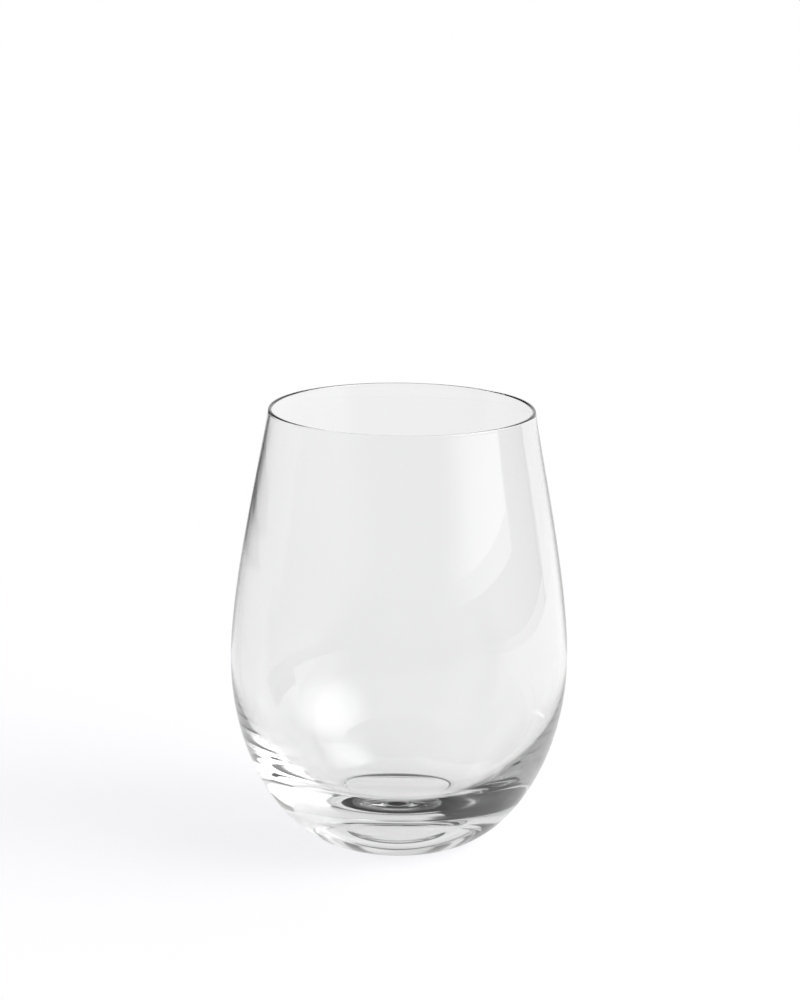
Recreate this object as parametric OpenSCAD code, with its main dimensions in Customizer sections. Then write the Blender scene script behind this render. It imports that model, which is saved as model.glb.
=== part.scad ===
// Stemless wine glass: one piece of clear blown glass, turned about its own axis.
// Lengths are in millimetres and angles in degrees.
// +Z is up, and the glass stands on z = 0 with its axis on the Z axis.

/* [Bowl outside] */
// Height of the rim above the table
height = 120; // [110:0.5:132]
// Diameter at the widest place
belly_d = 92; // [84:0.5:100]
// Height of the widest place above the table
belly_z = 50.5; // [46:0.5:56]
// Diameter over the rim
rim_d = 72.2; // [66:0.2:80]
// Angle at which the wall leans in at the rim
rim_lean = 8.2; // [5:0.2:12]

/* [Glass thickness] */
// Wall at the rim, which is fire-polished to a full round
rim_wall = 0.9; // [0.7:0.1:1.4]
// Wall at the widest place
belly_wall = 1.7; // [1.2:0.1:2.4]
// Glass on the axis, between the floor of the bowl and the hollow under the foot
floor_wall = 7; // [4:0.2:9]

/* [Foot] */
// Outer diameter of the flat ring that the glass stands on
foot_d = 39; // [34:0.2:44]
// Width of the flat ring
land_w = 1.2; // [0.8:0.1:2.4]
// Slope of the outside above the table where it meets the flat ring
heel_slope = 19; // [8:1:24]
// Depth of the shallow hollow under the foot
punt_h = 0.4; // [0.3:0.1:1.5]
// Width of the soft edge of the hollow, inside the flat ring
punt_edge_w = 1.4; // [1:0.1:3]

/* [Hidden] */

// Outside radii
belly_r = belly_d / 2;
rim_r = rim_d / 2;
foot_r = foot_d / 2;

// How far the outside curve holds its direction at each of its ends, as a share
// of the way to its other end
outer_belly_up_share = 0.31;
outer_rim_share = 0.205;
outer_belly_down_share = 0.48;
outer_heel_share = 0.546;

// The same for the inside curve from the widest place down to the floor
inner_belly_down_share = 0.58;
inner_floor_share = 0.66;

// The same for the edge of the hollow, at both its ends
punt_edge_share = 0.5;

// Facets round the axis, and straight steps along each curve of the profile
$fn = 128;
upper_steps = 22;
lower_steps = 26;
rim_steps = 8;
punt_steps = 8;

// Heights of the two ends of the side wall
rise_h = height - belly_z;
floor_z = punt_h + floor_wall;

// Direction that the wall points at the rim, seen in the half plane of the profile
rim_dir = [-sin(rim_lean), cos(rim_lean)];
// Middle of the round edge at the rim, which touches both rim_r and height
rim_edge_r = rim_wall / 2;
rim_centre = [rim_r - rim_edge_r, height - rim_edge_r];

// Point at share t along a cubic curve from a to d with handle points b and c
function curve_point(a, b, c, d, t) =
    pow(1 - t, 3) * a + 3 * t * pow(1 - t, 2) * b + 3 * t * t * (1 - t) * c + pow(t, 3) * d;

// The same curve as points, without its first point
function curve(a, b, c, d, steps) =
    [for (i = [1 : steps]) curve_point(a, b, c, d, i / steps)];

// Points of an arc about a centre, from one angle to another, both ends included
function arc(centre, radius, from, to, steps) =
    [for (i = [0 : steps])
        let (angle = from + (to - from) * i / steps)
        centre + radius * [cos(angle), sin(angle)]];

// Full round at the rim, from the outside of the wall over the top to the inside
function rim_points() =
    arc(rim_centre, rim_edge_r, rim_lean, 180 + rim_lean, rim_steps);

// Side wall between the rim and the widest place, for a wall whose surface is at
// radius r there and starts at the point edge of the rim; listed from the rim down
function upper_points(edge, r) =
    curve(edge,
          edge - outer_rim_share * rise_h * rim_dir,
          [r, belly_z + outer_belly_up_share * rise_h],
          [r, belly_z],
          upper_steps);

// Outside below the widest place, down to the flat ring
function heel_points() =
    let (reach = belly_r - foot_r)
    curve([belly_r, belly_z],
          [belly_r, belly_z - outer_belly_down_share * belly_z],
          [foot_r, 0] + outer_heel_share * reach * [1, tan(heel_slope)],
          [foot_r, 0],
          lower_steps);

// Inside below the widest place, down to the middle of the floor
function floor_points() =
    let (r = belly_r - belly_wall, drop = belly_z - floor_z)
    curve([r, belly_z],
          [r, belly_z - inner_belly_down_share * drop],
          [inner_floor_share * r, floor_z],
          [0, floor_z],
          lower_steps);

// Hollow under the foot: its edge leaves the flat ring level, turns up and ends level
// again at the flat middle; listed from the ring inwards
function punt_points() =
    let (ring_r = foot_r - land_w,
         middle_r = ring_r - punt_edge_w,
         hold = [punt_edge_share * punt_edge_w, 0])
    concat([[ring_r, 0]],
           curve([ring_r, 0],
                 [ring_r, 0] - hold,
                 [middle_r, punt_h] + hold,
                 [middle_r, punt_h],
                 punt_steps),
           [[0, punt_h]]);

module glass_bowl() {
    outer_edge = rim_points()[0];
    inner_edge = rim_points()[rim_steps];
    outside = concat(upper_points(outer_edge, belly_r), heel_points());
    inside = concat(upper_points(inner_edge, belly_r - belly_wall), floor_points());
    color([0.94, 0.97, 0.97, 0.35])
        rotate_extrude()
            polygon(concat(
                rim_points(),
                inside,
                [for (i = [len(punt_points()) - 1 : -1 : 0]) punt_points()[i]],
                [for (i = [len(outside) - 1 : -1 : 0]) outside[i]]));
}

glass_bowl();
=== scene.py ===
# Looks of the stemless wine glass: a smooth blown-glass body, its studio and the camera.
# Everything is in metres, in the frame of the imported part, +Z up.
import math

import bpy
import numpy as np
from mathutils import Matrix, Vector, noise


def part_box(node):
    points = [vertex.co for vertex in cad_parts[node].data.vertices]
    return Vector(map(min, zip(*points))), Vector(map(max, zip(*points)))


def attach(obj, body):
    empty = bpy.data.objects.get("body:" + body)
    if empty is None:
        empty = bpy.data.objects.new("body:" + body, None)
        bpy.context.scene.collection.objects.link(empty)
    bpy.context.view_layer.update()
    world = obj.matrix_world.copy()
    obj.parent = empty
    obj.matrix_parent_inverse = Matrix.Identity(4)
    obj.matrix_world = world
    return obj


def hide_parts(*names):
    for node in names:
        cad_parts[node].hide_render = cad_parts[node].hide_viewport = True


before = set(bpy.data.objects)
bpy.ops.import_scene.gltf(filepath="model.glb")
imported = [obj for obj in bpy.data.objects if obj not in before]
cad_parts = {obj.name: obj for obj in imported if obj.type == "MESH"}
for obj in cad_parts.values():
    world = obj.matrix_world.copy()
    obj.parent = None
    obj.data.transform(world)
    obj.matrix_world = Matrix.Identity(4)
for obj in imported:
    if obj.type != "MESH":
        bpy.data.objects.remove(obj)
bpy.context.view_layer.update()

MM = 0.001

# Sizes of the glass that the frame gives, from the highest corner of its box
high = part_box("glass_bowl")[1]
HEIGHT = high.z
BELLY_R = min(high.x, high.y)

# Sizes that it doesn't give, as in the part's source
BELLY_Z = 50.5 * MM
RIM_R = 36.1 * MM
RIM_LEAN = math.radians(8.2)
RIM_WALL = 0.9 * MM
BELLY_WALL = 1.7 * MM
FLOOR_WALL = 7 * MM
FOOT_R = 19.5 * MM
LAND_W = 1.2 * MM
HEEL_SLOPE = math.radians(19)
PUNT_H = 0.4 * MM
PUNT_EDGE_W = 1.4 * MM

# How far each curve holds its direction at its ends, as a share of the way
OUTER_BELLY_UP_SHARE = 0.31
OUTER_RIM_SHARE = 0.205
OUTER_BELLY_DOWN_SHARE = 0.48
OUTER_HEEL_SHARE = 0.546
INNER_BELLY_DOWN_SHARE = 0.58
INNER_FLOOR_SHARE = 0.66
PUNT_EDGE_SHARE = 0.5

# Steps round the axis and along the profile
TURNS = 192
UPPER_STEPS = 60
LOWER_STEPS = 140
FLOOR_STEPS = 180
RIM_STEPS = 14
PUNT_STEPS = 24
PUNT_MIDDLE_STEPS = 12

# Faint ring waves on the inside, low in the bowl, that fade out upwards and towards the axis.
# Each has a length, a depth and a phase.
WAVE_TOP = 34 * MM
WAVE_FADE = 14 * MM
WAVE_CENTRE_R = 7 * MM
WAVES = ((5.2 * MM, 0.0003 * MM, 0.4), (3.1 * MM, 0.0001 * MM, 1.9))
# Patches in the same place where the glass is thicker or thinner by up to this much, their rough
# size, and how much closer they follow each other upwards than sideways
UNEVEN_H = 0.0005 * MM
UNEVEN_SIZE = 22 * MM
UNEVEN_CLOSER_UP = 2

# Refraction of the glass, its own tint, and the light that it soaks up on long ways through the base
GLASS_IOR = 1.5
GLASS_COLOUR = (0.999, 1, 1, 1)
SOAK_PER_M = 5
SOAK_COLOUR = (0.5, 0.506, 0.503, 1)

# Polish: smudges roughen it in soft patches, where their noise is above a level, and ripples bend
# what shows through it a little
SMUDGE_SIZE, SMUDGE_DETAIL = 18 * MM, 4
SMUDGE_LEVEL, SMUDGE_ROUGH = 0.5, 0.08
RIPPLE_SIZE, RIPPLE_DETAIL = 9 * MM, 2
RIPPLE_H = 0.0003 * MM

# How many surfaces a ray may cross or bounce off
BOUNCES = 48

# Camera, from the fit to the photograph. Its focal length is in pixels of a picture that is 1000
# high, its sensor in millimetres, and its place in metres from the middle of the foot.
PICTURE_H = 1000
FOCAL_PX = 3787
SENSOR = 36
CLIP_START = 0.01
CAMERA_BACK = 1.0
CAMERA_UP = 0.3246
CAMERA_ASIDE = -0.25 * MM
CAMERA_PITCH = math.radians(12.95)
CAMERA_ROLL = math.radians(0.71)

# World: its light on the glass, and what shows straight through the glass in side and back views
STUDIO_DARK = 0.035
CLEAR_LIGHT = 0.88

# Table: its edges, and its depth below the foot, which keeps the two surfaces apart
TABLE_LEFT, TABLE_RIGHT = -0.8, 0.5
TABLE_FRONT, TABLE_BACK = -0.4, 0.62
TABLE_DROP = 0.1 * MM
# Colour of its paper and strength of its glow, to the camera and to the glass
PAPER_TO_CAMERA, PAPER_TO_GLASS = 0.3, 0.15
GLOW_TO_CAMERA, GLOW_TO_GLASS = 0.785, 0.77
# Bluish tint of the glow that the camera sees near the glass
GLOW_TINT = (0.995, 0.988, 1.012, 1)
# Distance from the axis where it starts to turn plain white to the camera, and how soon it does
WHITE_FROM, WHITE_FADE = 0.16, 0.15
# The glow to the glass is weaker in front of a slanting line
FRONT_LINE_Y, FRONT_LINE_SLANT, FRONT_LINE_FADE = -0.08, -0.27, 0.05
FRONT_GLOW = 0.35
# It is also weaker to the left of one line and in the far left corner, and stronger on the right
LEFT_LINE_X, LEFT_LINE_FADE, LEFT_SHADE = -0.1, 0.12, 0.27
CORNER_X, CORNER_Y, CORNER_FADE, CORNER_SHADE = -0.13, 0.385, 0.05, 0.88
RIGHT_LINE_X, RIGHT_LINE_FADE, RIGHT_LIFT = 0.1, 0.08, 0.12
# Painted shade in the glow that the glass sees: a little below the glass, and where the ring of the foot
# touches
UNDER_GLASS_REACH, PAINTED_UNDER_GLASS_SHADE = 24 * MM, 0.1
CONTACT_REACH, PAINTED_CONTACT_SHADE = 0.7 * MM, 0.15

# Brighter and darker places on the screens: bearing and angle up in degrees, as seen from a point
# on the axis of the glass, how far each reaches both ways, and the light that it adds
SPOT_EYE = 30 * MM
LAMP_SPOTS = (dict(bearing=106, up=40, reach=36, reach_up=22, light=4.7),
              dict(bearing=106, up=8, reach=32, reach_up=14, light=1.25))
PANEL_SPOTS = LAMP_SPOTS + (dict(bearing=74, up=15, reach=22, reach_up=8, light=0.75),)
SWEEP_SPOTS = (dict(bearing=40, up=53, reach=30, reach_up=8, light=1.0),
               dict(bearing=-25, up=4, reach=9, reach_up=12, light=-0.8))

# Screens: a pale sweep behind the glass, a side panel and a softbox on the right, a wall behind
# the camera, and a grey room at the height of the table, on the right, in front and on the left.
# Bearings are in degrees from straight behind the glass, positive to the right.
SCREEN_COLUMNS, SCREEN_ROWS = 48, 24
SCREENS = {
    "sweep": dict(bearings=(-25, 60), distance=0.6, bottom=0, top=1.3, light=0.91,
                  spots=SWEEP_SPOTS, backs_glass=False),
    "side_panel": dict(bearings=(60, 92), distance=0.8, bottom=0.2, top=1.4, light=0.45,
                       spots=PANEL_SPOTS),
    "softbox": dict(bearings=(92, 150), distance=1.0, bottom=0.09, top=1.7, light=0.42,
                    spots=LAMP_SPOTS),
    "front_wall": dict(bearings=(150, 272), distance=1.6, bottom=0.15, top=2.8, light=0.42),
    "room": dict(bearings=(60, 272), distance=1.8, bottom=-0.5, top=0.2, light=0.33),
    "left_room": dict(bearings=(272, 335), distance=1.8, bottom=-0.5, top=0.16, light=0.55),
}


# Profile of the glass, as points of radius and height

def cubic(start, start_handle, end_handle, end, steps):
    """Points of a cubic curve with a handle point for each end, without its start."""
    t = np.linspace(0, 1, steps + 1)[1:, None]
    a, b, c, d = (np.array(v, float) for v in (start, start_handle, end_handle, end))
    return (1 - t) ** 3 * a + 3 * t * (1 - t) ** 2 * b + 3 * t * t * (1 - t) * c + t ** 3 * d


def arc(centre, radius, start, end, steps):
    """Points of an arc about centre, both ends included."""
    angle = np.linspace(start, end, steps + 1)
    return np.array(centre) + radius * np.stack([np.cos(angle), np.sin(angle)], 1)


def rim_points():
    """Round edge of the rim, from the outside of the wall over the top to the inside."""
    edge_r = RIM_WALL / 2
    return arc((RIM_R - edge_r, HEIGHT - edge_r), edge_r, RIM_LEAN, math.pi + RIM_LEAN, RIM_STEPS)


def upper_points(edge, radius):
    """Wall from the point edge of the rim down to the widest place, at that radius there."""
    rise = HEIGHT - BELLY_Z
    wall_way = np.array([-math.sin(RIM_LEAN), math.cos(RIM_LEAN)])
    return cubic(edge,
                 edge - OUTER_RIM_SHARE * rise * wall_way,
                 (radius, BELLY_Z + OUTER_BELLY_UP_SHARE * rise),
                 (radius, BELLY_Z),
                 UPPER_STEPS)


def heel_points():
    """Outside from the widest place down to the flat ring of the foot."""
    reach = OUTER_HEEL_SHARE * (BELLY_R - FOOT_R)
    return cubic((BELLY_R, BELLY_Z),
                 (BELLY_R, BELLY_Z * (1 - OUTER_BELLY_DOWN_SHARE)),
                 (FOOT_R + reach, reach * math.tan(HEEL_SLOPE)),
                 (FOOT_R, 0),
                 LOWER_STEPS)


def floor_points():
    """Inside from the widest place down to the middle of the floor."""
    radius = BELLY_R - BELLY_WALL
    floor_z = PUNT_H + FLOOR_WALL
    return cubic((radius, BELLY_Z),
                 (radius, BELLY_Z - INNER_BELLY_DOWN_SHARE * (BELLY_Z - floor_z)),
                 (INNER_FLOOR_SHARE * radius, floor_z),
                 (0, floor_z),
                 FLOOR_STEPS)


def punt_points():
    """Hollow under the foot, from the flat ring's inner edge to the middle."""
    ring_r = FOOT_R - LAND_W
    middle_r = ring_r - PUNT_EDGE_W
    hold = PUNT_EDGE_SHARE * PUNT_EDGE_W
    edge = cubic((ring_r, 0),
                 (ring_r - hold, 0),
                 (middle_r + hold, PUNT_H),
                 (middle_r, PUNT_H),
                 PUNT_STEPS)
    across = np.linspace(middle_r, 0, PUNT_MIDDLE_STEPS + 1)[1:]
    return np.vstack([[(ring_r, 0)], edge, np.stack([across, np.full_like(across, PUNT_H)], 1)])


def profile():
    """Outline from the middle of the floor up inside, over the rim, down outside and under the foot.

    The second value marks the points that lie on the inside of the bowl."""
    rim = rim_points()
    inside = np.vstack([upper_points(rim[-1], BELLY_R - BELLY_WALL), floor_points()])[::-1]
    outside = np.vstack([upper_points(rim[0], BELLY_R), heel_points(), punt_points()])
    points = np.vstack([inside, rim[::-1], outside])
    return points, np.arange(len(points)) < len(inside)


# Mesh of the glass

def low_inside(points, inside, power):
    """1 low on the inside of the bowl, 0 outside and above WAVE_TOP, and down to 0 at the axis.

    The power says how soon it falls off upwards."""
    low_in_bowl = np.clip((WAVE_TOP - points[:, 1]) / WAVE_FADE, 0, 1)
    off_centre = np.clip(points[:, 0] / WAVE_CENTRE_R, 0, 1)
    return inside * low_in_bowl ** power * off_centre


def wave_depths(points, inside):
    """How deep the ring waves go into the glass at each point of the profile."""
    step = np.hypot(*np.diff(points, axis=0, prepend=points[:1]).T)
    way = np.cumsum(step)
    waves = sum(depth * np.sin(2 * math.pi * way / length + phase) for length, depth, phase in WAVES)
    return low_inside(points, inside, power=2) * waves


def ways_in(points):
    """Direction into the glass at each point of the profile, at right angles to it."""
    tangent = np.gradient(points, axis=0)
    way = np.stack([tangent[:, 1], -tangent[:, 0]], 1)
    return way / np.linalg.norm(way, axis=1)[:, None]


def ring_verts():
    """The profile's first point, a ring of points for each one between, and its last point."""
    points, inside = profile()
    wave = wave_depths(points, inside)
    uneven = low_inside(points, inside, power=1) * UNEVEN_H
    way_in = ways_in(points)
    angles = np.linspace(0, 2 * math.pi, TURNS, endpoint=False)
    verts = [(0, 0, points[0, 1])]
    for i in range(1, len(points) - 1):
        r, z = points[i]
        for a in angles:
            place = Vector((r * math.cos(a), r * math.sin(a), z * UNEVEN_CLOSER_UP)) / UNEVEN_SIZE
            depth = wave[i] + uneven[i] * noise.noise(place)
            vert_r = r + depth * way_in[i, 0]
            vert_z = z + depth * way_in[i, 1]
            verts.append((vert_r * math.cos(a), vert_r * math.sin(a), vert_z))
    verts.append((0, 0, points[-1, 1]))
    return verts


def ring_faces(rings):
    """Faces between rings of TURNS points, closed by a single point at both ends."""
    last = 1 + rings * TURNS
    faces = []
    for j in range(TURNS):
        k = (j + 1) % TURNS
        faces.append((0, 1 + j, 1 + k))
        for i in range(rings - 1):
            ring = 1 + i * TURNS
            following = ring + TURNS
            faces.append((ring + j, following + j, following + k, ring + k))
        faces.append((last - TURNS + j, last, last - TURNS + k))
    return faces


def glass_mesh(name):
    """The glass as one closed surface of revolution, a little uneven inside as blown glass is."""
    verts = ring_verts()
    rings = (len(verts) - 2) // TURNS
    mesh = bpy.data.meshes.new(name)
    mesh.from_pydata(verts, [], ring_faces(rings))
    mesh.shade_smooth()
    mesh.update()
    return mesh


# Nodes that the materials share

def feed(tree, value, socket):
    """Sets a socket to a number, or links it to the output of another node."""
    if isinstance(value, (int, float)):
        socket.default_value = value
    else:
        tree.links.new(value, socket)


def maths(tree, operation, *values):
    """A Math node whose inputs are numbers or outputs of other nodes."""
    step = tree.nodes.new("ShaderNodeMath")
    step.operation = operation
    for value, socket in zip(values, step.inputs):
        feed(tree, value, socket)
    return step.outputs[0]


def ramp(tree, value, start, width):
    """Rises from 0 at start to 1 at start + width."""
    step = maths(tree, "DIVIDE", maths(tree, "SUBTRACT", value, start), width)
    return maths(tree, "MINIMUM", maths(tree, "MAXIMUM", step, 0), 1)


def bell(tree, value):
    """1 where the value is 0, and e to the power of minus its square elsewhere."""
    return maths(tree, "POWER", math.exp(-1), maths(tree, "MULTIPLY", value, value))


def blend(tree, share, start, end):
    """From start, at a share of 0, to end, at a share of 1."""
    return maths(tree, "ADD",
                 maths(tree, "MULTIPLY", maths(tree, "SUBTRACT", 1, share), start),
                 maths(tree, "MULTIPLY", share, end))


def straight_through(tree):
    """1 for light that came through the glass without a reflection, else 0."""
    ray = tree.nodes.new("ShaderNodeLightPath")
    unreflected = maths(tree, "LESS_THAN", ray.outputs["Glossy Depth"], 1)
    return maths(tree, "MULTIPLY", ray.outputs["Is Transmission Ray"], unreflected)


def object_place(tree):
    """Coordinates on the object, and the node that splits them into X, Y and Z."""
    place = tree.nodes.new("ShaderNodeTexCoord").outputs["Object"]
    parts = tree.nodes.new("ShaderNodeSeparateXYZ")
    tree.links.new(place, parts.inputs[0])
    return place, parts.outputs


def noise_pattern(tree, place, size, detail):
    """Soft patches about as large as size, with levels from 0 to 1."""
    pattern = tree.nodes.new("ShaderNodeTexNoise")
    pattern.inputs["Scale"].default_value = 1 / size
    pattern.inputs["Detail"].default_value = detail
    tree.links.new(place, pattern.inputs["Vector"])
    return pattern.outputs["Fac"]


def empty_material(name):
    """A material with only its output node, with its node tree and that node's surface input."""
    material = bpy.data.materials.new(name)
    material.use_nodes = True
    tree = material.node_tree
    tree.nodes.clear()
    return material, tree, tree.nodes.new("ShaderNodeOutputMaterial").inputs["Surface"]


# Glass

def glass_material():
    """Clear soda-lime glass, with faint smudges and ripples in its polish."""
    material = bpy.data.materials.new("clear_glass")
    material.use_nodes = True
    tree = material.node_tree
    shader = tree.nodes["Principled BSDF"]
    shader.inputs["Base Color"].default_value = GLASS_COLOUR
    shader.inputs["IOR"].default_value = GLASS_IOR
    shader.inputs["Transmission Weight"].default_value = 1
    place = tree.nodes.new("ShaderNodeTexCoord").outputs["Object"]
    smudge = noise_pattern(tree, place, SMUDGE_SIZE, SMUDGE_DETAIL)
    film = maths(tree, "MAXIMUM", maths(tree, "SUBTRACT", smudge, SMUDGE_LEVEL), 0)
    tree.links.new(maths(tree, "MULTIPLY", film, SMUDGE_ROUGH), shader.inputs["Roughness"])
    ripple = tree.nodes.new("ShaderNodeBump")
    ripple.inputs["Strength"].default_value = 1
    ripple.inputs["Distance"].default_value = RIPPLE_H
    tree.links.new(noise_pattern(tree, place, RIPPLE_SIZE, RIPPLE_DETAIL), ripple.inputs["Height"])
    tree.links.new(ripple.outputs["Normal"], shader.inputs["Normal"])
    soak = tree.nodes.new("ShaderNodeVolumeAbsorption")
    soak.inputs["Color"].default_value = SOAK_COLOUR
    soak.inputs["Density"].default_value = SOAK_PER_M
    tree.links.new(soak.outputs[0], tree.nodes["Material Output"].inputs["Volume"])
    return material


# Studio

def stage_object(name, verts, faces, material):
    """The table or a screen of the studio, which isn't part of the glass."""
    mesh = bpy.data.meshes.new(name)
    mesh.from_pydata(verts, [], faces)
    mesh.materials.append(material)
    thing = bpy.data.objects.new(name, mesh)
    bpy.context.scene.collection.objects.link(thing)
    return thing


def screen_mesh(bearings, distance, bottom, top):
    """Points and faces of an upright sheet that is curved round the axis of the glass."""
    verts = []
    for i in range(SCREEN_ROWS + 1):
        z = bottom + (top - bottom) * i / SCREEN_ROWS
        for j in range(SCREEN_COLUMNS + 1):
            a = math.radians(bearings[0] + (bearings[1] - bearings[0]) * j / SCREEN_COLUMNS)
            verts.append((distance * math.sin(a), distance * math.cos(a), z))
    row = SCREEN_COLUMNS + 1
    faces = [(i * row + j, i * row + j + 1, (i + 1) * row + j + 1, (i + 1) * row + j)
             for i in range(SCREEN_ROWS) for j in range(SCREEN_COLUMNS)]
    return verts, faces


def spotted_light(tree, distance, light, spots):
    """A screen's own light, and what each of its spots adds or takes away."""
    _, parts = object_place(tree)
    bearing = maths(tree, "DEGREES", maths(tree, "ARCTAN2", parts["X"], parts["Y"]))
    above = maths(tree, "SUBTRACT", parts["Z"], SPOT_EYE)
    climb = maths(tree, "DEGREES", maths(tree, "ARCTAN2", above, distance))
    for spot in spots:
        side = maths(tree, "DIVIDE", maths(tree, "SUBTRACT", bearing, spot["bearing"]), spot["reach"])
        up = maths(tree, "DIVIDE", maths(tree, "SUBTRACT", climb, spot["up"]), spot["reach_up"])
        far = maths(tree, "ADD", maths(tree, "MULTIPLY", side, side), maths(tree, "MULTIPLY", up, up))
        light = maths(tree, "MULTIPLY_ADD", bell(tree, far), spot["light"], light)
    return light


def screen(name, bearings, distance, bottom, top, light, spots=(), backs_glass=True):
    """Upright curved screen that glows, and that the camera doesn't see.

    One that backs the glass in side and back views has CLEAR_LIGHT for what goes straight through."""
    material, tree, surface = empty_material(name)
    if spots:
        light = spotted_light(tree, distance, light, spots)
    if backs_glass:
        light = blend(tree, straight_through(tree), light, CLEAR_LIGHT)
    glow = tree.nodes.new("ShaderNodeEmission")
    feed(tree, light, glow.inputs["Strength"])
    tree.links.new(glow.outputs[0], surface)
    verts, faces = screen_mesh(bearings, distance, bottom, top)
    stage_object(name, verts, faces, material).visible_camera = False


def glow_to_glass(tree, x, y, radius):
    """Strength of the table's glow for light the glass reflects or refracts, with painted shade below it.
    """
    line = maths(tree, "MULTIPLY_ADD", x, -FRONT_LINE_SLANT, y)
    behind = maths(tree, "MAXIMUM", ramp(tree, line, FRONT_LINE_Y, FRONT_LINE_FADE), straight_through(tree))
    glow = maths(tree, "MULTIPLY_ADD", behind, GLOW_TO_GLASS - FRONT_GLOW, FRONT_GLOW)
    left = ramp(tree, x, LEFT_LINE_X, -LEFT_LINE_FADE)
    corner = maths(tree, "MULTIPLY",
                   ramp(tree, x, CORNER_X, -CORNER_FADE),
                   ramp(tree, y, CORNER_Y, CORNER_FADE))
    right = ramp(tree, x, RIGHT_LINE_X, RIGHT_LINE_FADE)
    # Painted shade in the glow: a little below the glass, and a thin dark ring where the foot touches
    under = bell(tree, maths(tree, "DIVIDE", radius, UNDER_GLASS_REACH))
    from_ring = maths(tree, "SUBTRACT", radius, FOOT_R - LAND_W / 2)
    contact = bell(tree, maths(tree, "DIVIDE", from_ring, CONTACT_REACH))
    changes = ((left, -LEFT_SHADE), (corner, -CORNER_SHADE), (right, RIGHT_LIFT),
               (under, -PAINTED_UNDER_GLASS_SHADE), (contact, -PAINTED_CONTACT_SHADE))
    for share, change in changes:
        glow = maths(tree, "MULTIPLY", glow, maths(tree, "MULTIPLY_ADD", share, change, 1))
    return glow


def table():
    """Level white sheet, lit and shadowed as matt paper, over a glow with painted shade under the glass.

    Light that the paper scatters doesn't pick up the glow again. Away from the glass the camera
    sees plain white, as it does past the sheet's edges."""
    material, tree, surface = empty_material("table")
    place, parts = object_place(tree)
    length = tree.nodes.new("ShaderNodeVectorMath")
    length.operation = "LENGTH"
    tree.links.new(place, length.inputs[0])
    radius = length.outputs["Value"]
    ray = tree.nodes.new("ShaderNodeLightPath")
    seen = ray.outputs["Is Camera Ray"]
    far = ramp(tree, radius, WHITE_FROM, WHITE_FADE)
    near_seen = maths(tree, "MULTIPLY", seen, maths(tree, "SUBTRACT", 1, far))

    paper = tree.nodes.new("ShaderNodeBsdfDiffuse")
    colour = maths(tree, "ADD",
                   maths(tree, "MULTIPLY", near_seen, PAPER_TO_CAMERA),
                   maths(tree, "MULTIPLY", maths(tree, "SUBTRACT", 1, seen), PAPER_TO_GLASS))
    tree.links.new(colour, paper.inputs["Color"])

    glow = tree.nodes.new("ShaderNodeEmission")
    to_glass = glow_to_glass(tree, parts["X"], parts["Y"], radius)
    light = blend(tree, seen, to_glass, blend(tree, far, GLOW_TO_CAMERA, 1))
    unscattered = maths(tree, "SUBTRACT", 1, ray.outputs["Is Diffuse Ray"])
    tree.links.new(maths(tree, "MULTIPLY", unscattered, light), glow.inputs["Strength"])
    tint = tree.nodes.new("ShaderNodeMix")
    tint.data_type = "RGBA"
    tint.inputs["A"].default_value = (1, 1, 1, 1)
    tint.inputs["B"].default_value = GLOW_TINT
    tree.links.new(near_seen, tint.inputs["Factor"])
    tree.links.new(tint.outputs["Result"], glow.inputs["Color"])

    both = tree.nodes.new("ShaderNodeAddShader")
    tree.links.new(paper.outputs[0], both.inputs[0])
    tree.links.new(glow.outputs[0], both.inputs[1])
    tree.links.new(both.outputs[0], surface)
    verts = [(TABLE_LEFT, TABLE_FRONT, -TABLE_DROP), (TABLE_RIGHT, TABLE_FRONT, -TABLE_DROP),
             (TABLE_RIGHT, TABLE_BACK, -TABLE_DROP), (TABLE_LEFT, TABLE_BACK, -TABLE_DROP)]
    stage_object("table", verts, [(0, 1, 2, 3)], material)


def studio_world():
    """Dark room round the table, white to the camera and pale straight through the glass."""
    world = bpy.data.worlds.new("studio")
    bpy.context.scene.world = world
    world.use_nodes = True
    tree = world.node_tree
    back = tree.nodes["Background"]
    back.inputs["Color"].default_value = (1, 1, 1, 1)
    ray = tree.nodes.new("ShaderNodeLightPath")
    strength = maths(tree, "MAXIMUM",
                     maths(tree, "MAXIMUM", ray.outputs["Is Camera Ray"], STUDIO_DARK),
                     maths(tree, "MULTIPLY", straight_through(tree), CLEAR_LIGHT))
    tree.links.new(strength, back.inputs["Strength"])


def camera():
    """Camera of the photograph: in front of the glass, looking down a little, and slightly rolled."""
    data = bpy.data.cameras.new("camera")
    data.sensor_fit = "VERTICAL"
    data.sensor_height = SENSOR
    data.sensor_width = SENSOR
    data.lens = FOCAL_PX / PICTURE_H * SENSOR
    data.clip_start = CLIP_START
    view = bpy.data.objects.new("camera", data)
    view.location = (CAMERA_ASIDE, -CAMERA_BACK, CAMERA_UP)
    turn = Matrix.Rotation(math.pi / 2 - CAMERA_PITCH, 3, "X") @ Matrix.Rotation(CAMERA_ROLL, 3, "Z")
    view.rotation_euler = turn.to_euler()
    bpy.context.scene.collection.objects.link(view)
    bpy.context.scene.camera = view


def settings():
    """Light has to cross many glass surfaces, and the colours stay as they are written."""
    scene = bpy.context.scene
    scene.view_settings.view_transform = "Standard"
    scene.cycles.max_bounces = BOUNCES
    scene.cycles.glossy_bounces = BOUNCES
    scene.cycles.transmission_bounces = BOUNCES


settings()
camera()
studio_world()
table()
for screen_name, form in SCREENS.items():
    screen(screen_name, **form)

glass = bpy.data.objects.new("glass_body", glass_mesh("glass_body"))
bpy.context.scene.collection.objects.link(glass)
glass.data.materials.append(glass_material())
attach(glass, "root")
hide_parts("glass_bowl")
